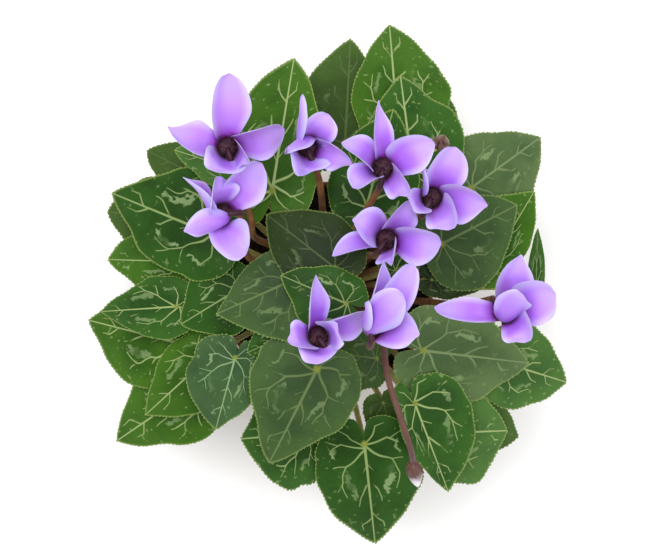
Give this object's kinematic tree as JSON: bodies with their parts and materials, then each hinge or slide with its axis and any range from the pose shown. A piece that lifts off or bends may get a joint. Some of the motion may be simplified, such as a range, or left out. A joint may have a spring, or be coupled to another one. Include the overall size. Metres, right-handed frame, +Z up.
{
  "type": "potted cyclamen",
  "caption": "Houseplant in a tapered nursery pot: a dome of toothed heart-shaped leaves on long petioles from a corm, with nodding violet blooms above.",
  "frame": {"origin": "centre of the pot's underside, on the surface that the pot stands on", "axes": "+Z up through the pot's centre, +X to the right and +Y away from the front edge as the plant is seen from above"},
  "size_m": [0.2372, 0.2574, 0.2207],
  "materials": {
    "leaf": "satin",
    "petal": "matte",
    "stalk": "satin",
    "corm": "matte",
    "soil": "matte",
    "pot": "satin"
  },
  "bodies": {
    "root": {"leaf_01": "leaf", "leaf_02": "leaf", "leaf_03": "leaf", "leaf_04": "leaf", "leaf_05": "leaf", "leaf_06": "leaf", "leaf_07": "leaf", "leaf_08": "leaf", "leaf_09": "leaf", "leaf_10": "leaf", "leaf_11": "leaf", "leaf_12": "leaf", "leaf_13": "leaf", "leaf_14": "leaf", "leaf_15": "leaf", "leaf_16": "leaf", "leaf_17": "leaf", "leaf_18": "leaf", "leaf_19": "leaf", "leaf_20": "leaf", "leaf_21": "leaf", "leaf_22": "leaf", "leaf_23": "leaf", "leaf_24": "leaf", "leaf_25": "leaf", "leaf_26": "leaf", "leaf_27": "leaf", "leaf_28": "leaf", "leaf_29": "leaf", "leaf_30": "leaf", "leaf_31": "leaf", "leaf_32": "leaf", "leaf_33": "leaf", "leaf_34": "leaf", "leaf_35": "leaf", "leaf_36": "leaf", "leaf_37": "leaf", "bloom_1": "petal", "bloom_2": "petal", "bloom_3": "petal", "bloom_4": "petal", "bloom_5": "petal", "bloom_6": "petal", "bloom_7": "petal", "bloom_8": "petal", "bloom_9": "petal", "bloom_stalk_1": "stalk", "bloom_stalk_2": "stalk", "bloom_stalk_3": "stalk", "bloom_stalk_4": "stalk", "bloom_stalk_5": "stalk", "bloom_stalk_6": "stalk", "bloom_stalk_7": "stalk", "bloom_stalk_8": "stalk", "bloom_stalk_9": "stalk", "bud_front": "stalk", "bud_back": "stalk", "corm": "corm", "soil": "soil", "pot": "pot"}
  },
  "joints": []
}
